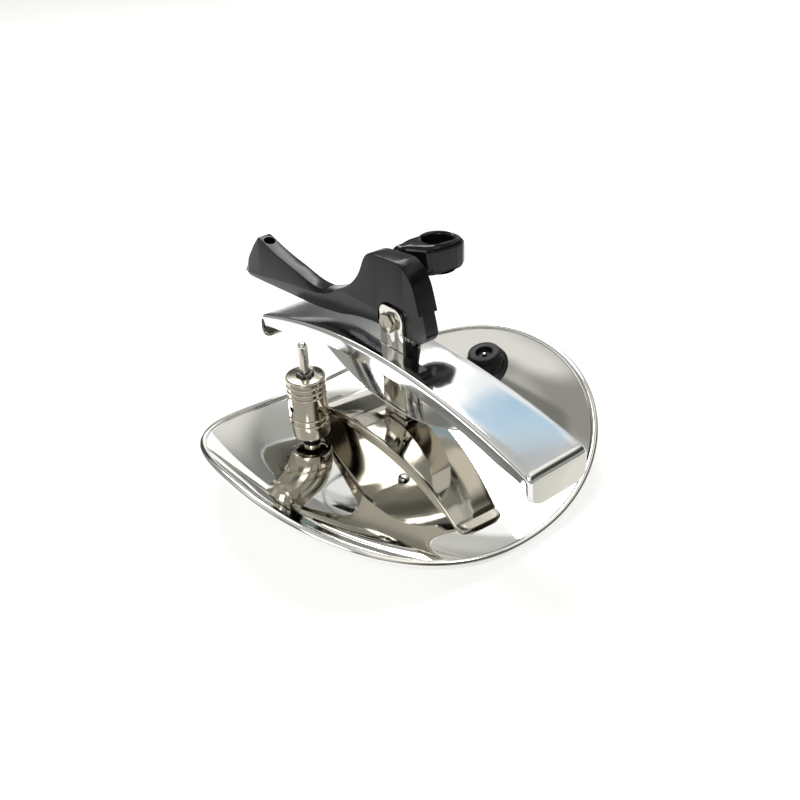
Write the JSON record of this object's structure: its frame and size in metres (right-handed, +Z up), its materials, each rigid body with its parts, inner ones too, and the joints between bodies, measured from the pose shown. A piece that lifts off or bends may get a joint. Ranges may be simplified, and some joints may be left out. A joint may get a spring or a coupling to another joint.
{
  "type": "pressure canner lid assembly",
  "caption": "Curved oval pressure-vessel lid with an arched bridge, a sprung pressure bar, a cam lever with a ring loop, a lift-off regulator weight on its vent and a rubber safety plug.",
  "frame": {"origin": "centre of the bounding box's footprint, at the lowest point of the lid's underside", "axes": "+X along the pressure bar towards the lever's head, +Y across the bar towards the ring loop, +Z up; the lever's pivot lies along Y"},
  "size_m": [0.2934, 0.24, 0.1357],
  "materials": {
    "lid_steel": "mirror-polished stainless steel sheet",
    "bridge_steel": "mirror-polished stainless steel",
    "spring_steel": "polished spring strip",
    "bar_steel": "polished stainless steel, faintly brushed along its length",
    "link_steel": "polished steel strip",
    "rivet_steel": "steel rivet",
    "lever_black": "satin black moulding",
    "ring_black": "gloss black moulding",
    "bolt_steel": "bright hex bolt",
    "nut_steel": "bright hex nut",
    "gasket_rubber": "black rubber washer",
    "vent_pipe_steel": "turned nickel-plated pipe",
    "locknut_steel": "steel hex nut",
    "weight_nickel": "turned and nickel-plated",
    "pin_steel": "bright turned rod",
    "collar_steel": "dark lobed nut",
    "plug_rubber": "black moulded rubber",
    "pin_bright": "bright metal pin"
  },
  "bodies": {
    "lid": {"lid_shell": "lid_steel", "lid_bridge": "bridge_steel", "leaf_spring": "spring_steel", "link_stirrup": "link_steel", "link_rivet": "rivet_steel", "pivot_bolt": "bolt_steel", "pivot_nut": "nut_steel", "vent_gasket": "gasket_rubber", "vent_pipe": "vent_pipe_steel", "vent_locknut": "locknut_steel", "safety_plug": "plug_rubber"},
    "bar": {"pressure_bar": "bar_steel"},
    "lever": {"lever_handle": "lever_black", "ring_loop": "ring_black"},
    "weight": {"regulator_weight": "weight_nickel", "lift_pin": "pin_steel", "pin_collar": "collar_steel"},
    "pressure_pin": {"safety_pin": "pin_bright"}
  },
  "joints": [
    {"name": "lever_pivot", "type": "hinge", "parent": "lid", "child": "lever", "pos_m": [0.01978, 0.003, 0.0973], "axis": [0, 1, 0], "range_deg": [0, 90]},
    {"name": "bar_press", "type": "slide", "parent": "lid", "child": "bar", "axis": [0, 0, -1], "range_m": [0, 0.0128], "deforming": ["leaf_spring"]},
    {"name": "weight_lift", "type": "slide", "parent": "lid", "child": "weight", "axis": [0, 0, 1], "range_m": [0, 0.03]},
    {"name": "pin_rise", "type": "slide", "parent": "lid", "child": "pressure_pin", "axis": [0, -0.2079, 0.9781], "range_m": [0, 0.004]}
  ],
  "couplings": [
    {"joint": "bar_press", "follows": "lever_pivot", "m_per_rad": 0.008136}
  ]
}
